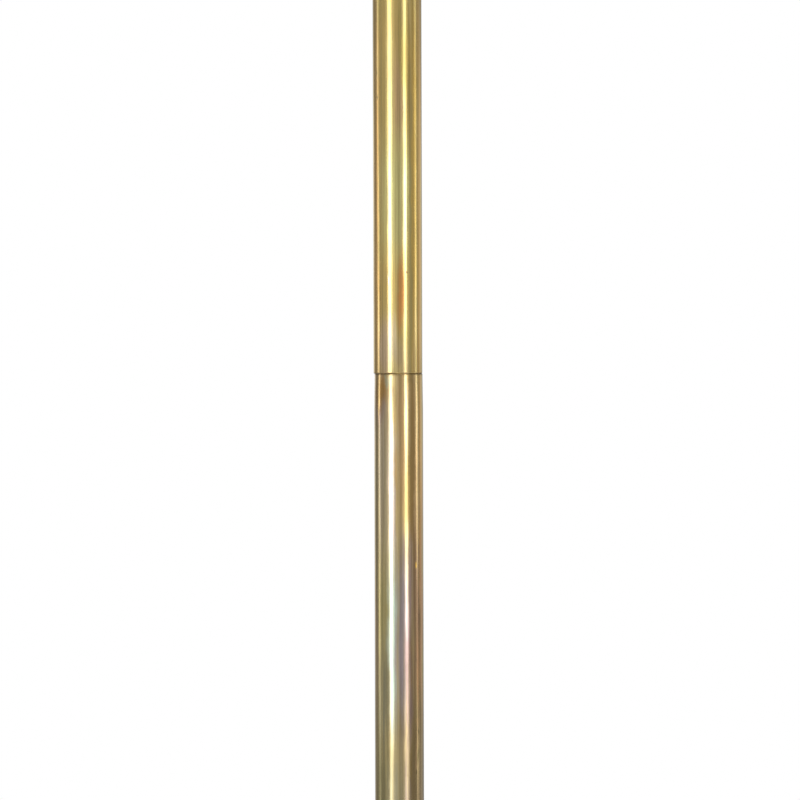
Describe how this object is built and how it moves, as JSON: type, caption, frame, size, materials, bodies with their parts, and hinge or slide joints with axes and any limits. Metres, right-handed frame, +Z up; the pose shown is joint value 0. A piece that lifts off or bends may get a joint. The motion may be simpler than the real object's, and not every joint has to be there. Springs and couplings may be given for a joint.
{
  "type": "pharmacy floor lamp",
  "caption": "Brass reading lamp on a weighted round base: screwed tube column, sliding locking rod, swinging arm, and a half-round trough shade that tilts and rolls.",
  "frame": {"origin": "on the floor, under the column axis, at the centre of the base pad", "axes": "+Z up along the column, +X along the arm towards the shade at rest, +Y towards the cable gland"},
  "size_m": [0.6063, 0.2558, 1.0871],
  "materials": {
    "column_brass": "polished unlacquered tube, tarnished in patches",
    "spun_brass": "polished spun sheet, lightly tarnished",
    "shade_brass": "polished pressed sheet outside, white enamel inside",
    "turned_brass": "polished, turned and knurled",
    "plated_steel": "zinc plated",
    "cast_iron": "as cast, painted black",
    "felt": "pressed wool felt",
    "nylon": "natural nylon",
    "fibre": "red vulcanised fibre",
    "black_plastic": "moulded",
    "porcelain": "glazed porcelain",
    "socket_metal": "bright pressed brass",
    "bulb_metal": "rolled thread cap",
    "bulb_glass": "clear soda glass"
  },
  "bodies": {
    "base": {"base_pad": "felt", "base_weight": "cast_iron", "base_cover": "spun_brass", "cable_gland": "black_plastic", "base_nipple": "plated_steel", "base_nut": "plated_steel", "base_washer": "plated_steel", "foot_collar": "turned_brass", "foot_plug": "turned_brass", "column_lower": "column_brass", "coupler_spigot": "turned_brass", "coupler_socket": "turned_brass", "column_upper": "column_brass", "column_head": "turned_brass", "guide_bush": "nylon"},
    "lock_shoe": {"lock_shoe": "turned_brass"},
    "lock_screw": {"lock_screw": "turned_brass", "lock_knob": "turned_brass"},
    "slider": {"rod_foot_bush": "nylon"},
    "rod": {"rod": "column_brass", "rod_clips": "plated_steel", "swivel_spindle": "turned_brass", "swivel_stop_pin": "plated_steel", "swivel_lower_washer": "fibre", "swivel_upper_washer": "fibre", "swivel_spring_washer": "plated_steel", "swivel_cap_nut": "turned_brass"},
    "arm": {"arm_hub": "turned_brass", "arm_tube": "column_brass", "arm_fork": "turned_brass", "clamp_nut": "turned_brass"},
    "clamp_washer": {"clamp_washer": "turned_brass"},
    "clamp_screw": {"clamp_screw": "turned_brass", "clamp_knob": "turned_brass"},
    "knuckle": {"tilt_tongue": "turned_brass", "tilt_washers": "fibre", "roll_washers": "fibre", "roll_nut": "turned_brass"},
    "shade": {"socket_cup": "spun_brass", "lamp_socket": "porcelain", "socket_shell": "socket_metal", "socket_contact": "socket_metal", "switch_bush": "turned_brass", "switch_nut": "turned_brass", "shade": "shade_brass", "shade_ring": "turned_brass", "bulb_cap": "bulb_metal", "bulb_glass": "bulb_glass", "bulb_stem": "bulb_glass", "bulb_filament": "plated_steel"},
    "switch_knob": {"switch_shaft": "turned_brass", "switch_knob": "turned_brass"}
  },
  "joints": [
    {"name": "lock_shoe_slide", "type": "slide", "parent": "base", "child": "lock_shoe", "axis": [-1, 0, 0], "range_m": [0, 0.002]},
    {"name": "lock_screw_turn", "type": "hinge", "parent": "lock_shoe", "child": "lock_screw", "pos_m": [0, 0, 0.84907], "axis": [-1, 0, 0], "range_deg": [0, 720]},
    {"name": "height_slide", "type": "slide", "parent": "base", "child": "slider", "axis": [0, 0, 1], "range_m": [-0.13034, 0.1955]},
    {"name": "rod_turn", "type": "hinge", "parent": "slider", "child": "rod", "pos_m": [0, 0, 0.61441], "axis": [0, 0, 1], "continuous": true},
    {"name": "arm_swing", "type": "hinge", "parent": "rod", "child": "arm", "pos_m": [0, 0, 1.04459], "axis": [0, 0, 1], "range_deg": [-165, 165]},
    {"name": "clamp_washer_slide", "type": "slide", "parent": "arm", "child": "clamp_washer", "axis": [0, -1, 0], "range_m": [0, 0.0004]},
    {"name": "clamp_screw_turn", "type": "hinge", "parent": "clamp_washer", "child": "clamp_screw", "pos_m": [0.212, 0, 1.04459], "axis": [0, -1, 0], "range_deg": [0, 180]},
    {"name": "shade_tilt", "type": "hinge", "parent": "arm", "child": "knuckle", "pos_m": [0.212, 0, 1.04459], "axis": [0, 1, 0], "range_deg": [-60, 90]},
    {"name": "shade_roll", "type": "hinge", "parent": "knuckle", "child": "shade", "pos_m": [0.22808, 0, 1.04459], "axis": [1, 0, 0], "range_deg": [-90, 90]},
    {"name": "switch_turn", "type": "hinge", "parent": "shade", "child": "switch_knob", "pos_m": [0.25058, 0, 1.04459], "axis": [0, -1, 0], "continuous": true}
  ],
  "couplings": [
    {"joint": "lock_screw_turn", "follows": "lock_shoe_slide", "rad_per_m": 6283.2},
    {"joint": "clamp_screw_turn", "follows": "clamp_washer_slide", "rad_per_m": 7854}
  ]
}
